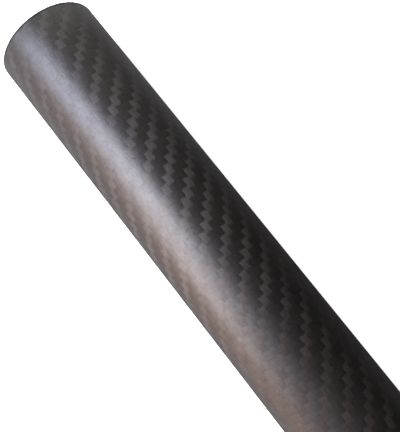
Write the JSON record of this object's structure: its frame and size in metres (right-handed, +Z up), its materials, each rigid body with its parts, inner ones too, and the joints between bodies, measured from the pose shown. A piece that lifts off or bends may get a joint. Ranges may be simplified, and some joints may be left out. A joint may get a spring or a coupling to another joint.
{
  "type": "carbon fibre tube",
  "caption": "Round thin-walled carbon fibre tube with a woven twill outer ply, a through bore and square-cut ends, for frames, booms and shafts.",
  "frame": {"origin": "on the tube's axis, at the middle of its length", "axes": "+X along the tube's axis, towards one sawn end; +Z up as the tube lies on its side"},
  "size_m": [0.5, 0.032, 0.032],
  "materials": {
    "carbon_laminate": "matte epoxy over black twill-woven carbon fibre"
  },
  "bodies": {
    "root": {"tube": "carbon_laminate"}
  },
  "joints": []
}
